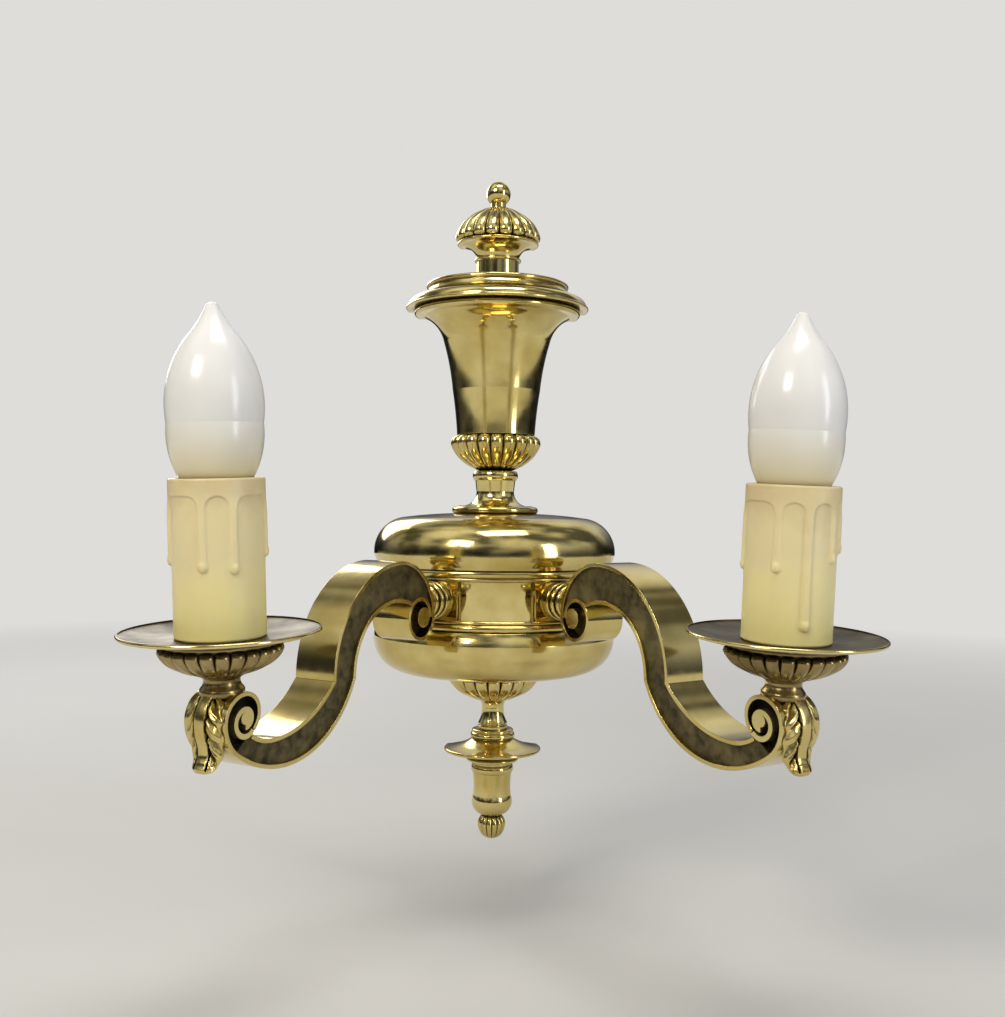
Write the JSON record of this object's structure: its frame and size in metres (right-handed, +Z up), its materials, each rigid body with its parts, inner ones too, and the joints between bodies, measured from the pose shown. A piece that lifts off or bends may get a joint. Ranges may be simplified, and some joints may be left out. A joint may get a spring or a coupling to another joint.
{
  "type": "double arm wall sconce",
  "caption": "Polished brass wall light: a turned half-round column with strip-built scroll arms, each with a ribbed cup, drip pan, candle sleeve and opal candle bulb.",
  "frame": {"origin": "on the wall, at the back of the mounting plate behind the centre of the waist band", "axes": "+Z up along the column, +X to the right, +Y into the wall, so the room is at -Y"},
  "size_m": [0.285, 0.2137, 0.3397],
  "materials": {
    "polished_brass": "polished and lacquered, turned",
    "mirror_brass": "mirror polished",
    "ribbed_brass": "cast, ribs polished, grooves aged dark",
    "leaf_brass": "cast and chased, aged in the hollows",
    "cast_brass": "as cast, matte, mottled dark olive brown",
    "satin_brass": "satin, dulled",
    "zinc_steel": "zinc plated",
    "wax_sleeve": "moulded ivory candle sleeve, waxy",
    "opal_glass": "opal white, glossy",
    "cap_nickel": "rolled thread cap",
    "holder_resin": "moulded resin",
    "holder_ceramic": "unglazed insert",
    "terminal_plastic": "moulded, off white",
    "flex_sheath": "extruded sheath"
  },
  "bodies": {
    "root": {"top_ball": "polished_brass", "ribbed_cap": "ribbed_brass", "cap_spool": "polished_brass", "urn_lid": "polished_brass", "urn_body": "polished_brass", "urn_knop": "ribbed_brass", "stem_spool": "polished_brass", "upper_dome": "polished_brass", "lower_dome": "polished_brass", "ribbed_bowl": "ribbed_brass", "drop_neck": "polished_brass", "drop_saucer": "polished_brass", "drop_cup": "polished_brass", "drop_ball": "ribbed_brass", "waist_band": "mirror_brass", "tie_rod": "zinc_steel", "tie_nuts": "zinc_steel", "mounting_plate": "zinc_steel", "side_screws": "polished_brass", "terminal_block": "terminal_plastic", "terminal_screws": "zinc_steel", "left_boss": "polished_brass", "left_arch_band": "polished_brass", "left_arch_inner_band": "polished_brass", "left_arch_cheeks": "cast_brass", "left_toe_band": "polished_brass", "left_toe_outer_band": "polished_brass", "left_toe_cheeks": "cast_brass", "left_leaf": "leaf_brass", "left_ribbed_cup": "ribbed_brass", "left_drip_pan": "satin_brass", "left_holder_body": "holder_resin", "left_holder_insert": "holder_ceramic", "left_holder_contact": "zinc_steel", "right_boss": "polished_brass", "right_arch_band": "polished_brass", "right_arch_inner_band": "polished_brass", "right_arch_cheeks": "cast_brass", "right_toe_band": "polished_brass", "right_toe_outer_band": "polished_brass", "right_toe_cheeks": "cast_brass", "right_leaf": "leaf_brass", "right_ribbed_cup": "ribbed_brass", "right_drip_pan": "satin_brass", "right_holder_body": "holder_resin", "right_holder_insert": "holder_ceramic", "right_holder_contact": "zinc_steel", "boss_nipples": "polished_brass", "boss_locknuts": "zinc_steel", "candle_nipples": "polished_brass", "arm_flex": "flex_sheath"},
    "left_sleeve": {"left_candle_sleeve": "wax_sleeve"},
    "left_bulb": {"left_bulb_glass": "opal_glass", "left_bulb_cap": "cap_nickel"},
    "left_bulb_rise": {"left_bulb_tip": "cap_nickel"},
    "right_sleeve": {"right_candle_sleeve": "wax_sleeve"},
    "right_bulb": {"right_bulb_glass": "opal_glass", "right_bulb_cap": "cap_nickel"},
    "right_bulb_rise": {"right_bulb_tip": "cap_nickel"}
  },
  "joints": [
    {"name": "left_bulb_rise", "type": "slide", "parent": "root", "child": "left_bulb_rise", "axis": [-0.0277, -0.0444, 0.9986], "range_m": [0, 0.01128]},
    {"name": "left_bulb_turn", "type": "hinge", "parent": "left_bulb_rise", "child": "left_bulb", "pos_m": [-0.10464, -0.17546, -0.02428], "axis": [-0.0277, -0.0444, 0.9986], "range_deg": [0, 1440]},
    {"name": "left_sleeve_lift", "type": "slide", "parent": "root", "child": "left_sleeve", "axis": [-0.0277, -0.0444, 0.9986], "range_m": [0, 0.001]},
    {"name": "right_bulb_rise", "type": "slide", "parent": "root", "child": "right_bulb_rise", "axis": [0.0277, -0.0444, 0.9986], "range_m": [0, 0.01128]},
    {"name": "right_bulb_turn", "type": "hinge", "parent": "right_bulb_rise", "child": "right_bulb", "pos_m": [0.10464, -0.17546, -0.02428], "axis": [0.0277, -0.0444, 0.9986], "range_deg": [0, 1440]},
    {"name": "right_sleeve_lift", "type": "slide", "parent": "root", "child": "right_sleeve", "axis": [0.0277, -0.0444, 0.9986], "range_m": [0, 0.001]}
  ],
  "couplings": [
    {"joint": "left_bulb_turn", "follows": "left_bulb_rise", "rad_per_m": 2226.5},
    {"joint": "right_bulb_turn", "follows": "right_bulb_rise", "rad_per_m": 2226.5}
  ]
}
